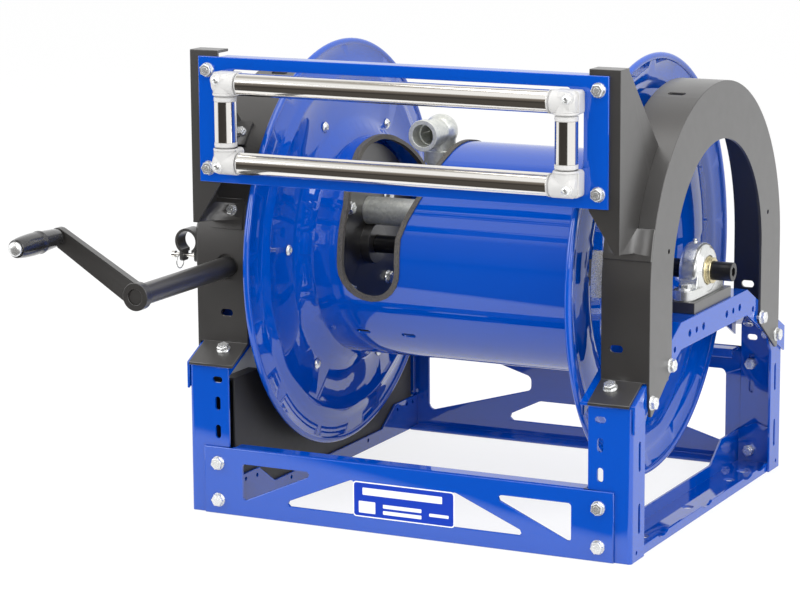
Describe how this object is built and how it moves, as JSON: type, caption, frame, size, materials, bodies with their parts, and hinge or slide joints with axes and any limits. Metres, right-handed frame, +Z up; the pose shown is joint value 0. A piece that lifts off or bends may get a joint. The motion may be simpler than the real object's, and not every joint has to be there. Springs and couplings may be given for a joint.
{
  "type": "fire hose reel",
  "caption": "Floor-standing fire hose reel with a hand crank, bevel drive, a drum between dished discs, side arches and a four-roller hose guide.",
  "frame": {"origin": "centre of the base on the floor", "axes": "+X right along the drum axis, -Y to the front with the roller guide, +Z up"},
  "size_m": [0.8147, 0.9385, 0.671],
  "materials": {
    "blue": "gloss powder coat",
    "black_paint": "satin powder coat",
    "zinc": "zinc plated",
    "galvanised": "galvanised",
    "stainless": "polished",
    "white_plastic": "satin",
    "black_plastic": "matt",
    "rubber": "matt",
    "steel_dark": "oiled",
    "casting": "painted silver",
    "brass": "satin",
    "motor_grey": "satin"
  },
  "bodies": {
    "frame": {"front_rail": "blue", "rear_rail": "blue", "base_rail_left": "blue", "base_rail_right": "blue", "post_front_left": "blue", "post_front_right": "blue", "post_rear_left": "blue", "post_rear_right": "blue", "bearing_beam_left": "blue", "bearing_beam_right": "blue", "bearing_riser_left": "black_plastic", "bearing_riser_right": "black_plastic", "pillow_block_left": "casting", "pillow_block_right": "casting", "arch_left": "black_paint", "arch_right": "black_paint", "roller_bracket_left": "black_paint", "roller_bracket_right": "black_paint", "roller_plate": "blue", "corner_blocks": "white_plastic", "roller_pins": "zinc", "crank_pedestal": "black_paint", "crank_flange": "black_paint", "swivel_bracket": "black_paint", "swivel_joint": "brass", "guard_outer": "black_paint", "guard_inner": "black_paint", "drive_motor": "motor_grey", "crank_clip": "black_plastic", "brake_bracket": "zinc", "brake_pad": "rubber", "frame_bolts": "zinc", "bearing_bolts": "zinc", "roller_bolts": "zinc"},
    "drum": {"drum_shell": "blue", "drum_edge_trim": "rubber", "disc_left": "blue", "disc_right": "blue", "hub_plate_left": "black_paint", "hub_plate_right": "black_paint", "axle_pipe": "steel_dark", "axle_shaft": "steel_dark", "manifold": "black_paint", "riser_pipe": "galvanised", "outlet_elbow": "galvanised", "spool_bolts": "zinc", "locking_collars": "brass", "bevel_gear": "steel_dark"},
    "crank": {"crank_shaft": "black_paint", "crank_arm": "black_paint", "bevel_pinion": "steel_dark", "grip_spindle": "zinc"},
    "grip": {"crank_grip": "black_plastic"},
    "roller_top_body": {"roller_top": "stainless"},
    "roller_bottom_body": {"roller_bottom": "stainless"},
    "roller_left_body": {"roller_left": "stainless"},
    "roller_right_body": {"roller_right": "stainless"},
    "pin": {"clip_pin": "stainless"},
    "ring": {"pull_ring": "zinc"}
  },
  "joints": [
    {"name": "drum_spin", "type": "hinge", "parent": "frame", "child": "drum", "pos_m": [0, 0, 0.354], "axis": [1, 0, 0], "continuous": true},
    {"name": "crank_spin", "type": "hinge", "parent": "frame", "child": "crank", "pos_m": [-0.301, -0.3, 0.354], "axis": [0, 1, 0], "continuous": true},
    {"name": "grip_spin", "type": "hinge", "parent": "crank", "child": "grip", "pos_m": [-0.424, -0.56, 0.42791], "axis": [0, 1, 0], "continuous": true},
    {"name": "roller_top_spin", "type": "hinge", "parent": "frame", "child": "roller_top_body", "pos_m": [0, -0.333, 0.628], "axis": [1, 0, 0], "continuous": true},
    {"name": "roller_bottom_spin", "type": "hinge", "parent": "frame", "child": "roller_bottom_body", "pos_m": [0, -0.333, 0.517], "axis": [1, 0, 0], "continuous": true},
    {"name": "roller_left_spin", "type": "hinge", "parent": "frame", "child": "roller_left_body", "pos_m": [-0.258, -0.333, 0.575], "axis": [0, 0, 1], "continuous": true},
    {"name": "roller_right_spin", "type": "hinge", "parent": "frame", "child": "roller_right_body", "pos_m": [0.258, -0.333, 0.575], "axis": [0, 0, 1], "continuous": true},
    {"name": "lock_pin_slide", "type": "slide", "parent": "frame", "child": "pin", "axis": [-1, 0, 0], "range_m": [0, 0.026]},
    {"name": "pull_ring_swing", "type": "hinge", "parent": "pin", "child": "ring", "pos_m": [-0.3915, -0.24, 0.362], "axis": [0, 1, 0], "range_deg": [-35, 35]}
  ],
  "couplings": [
    {"joint": "crank_spin", "follows": "drum_spin", "ratio": 3}
  ]
}
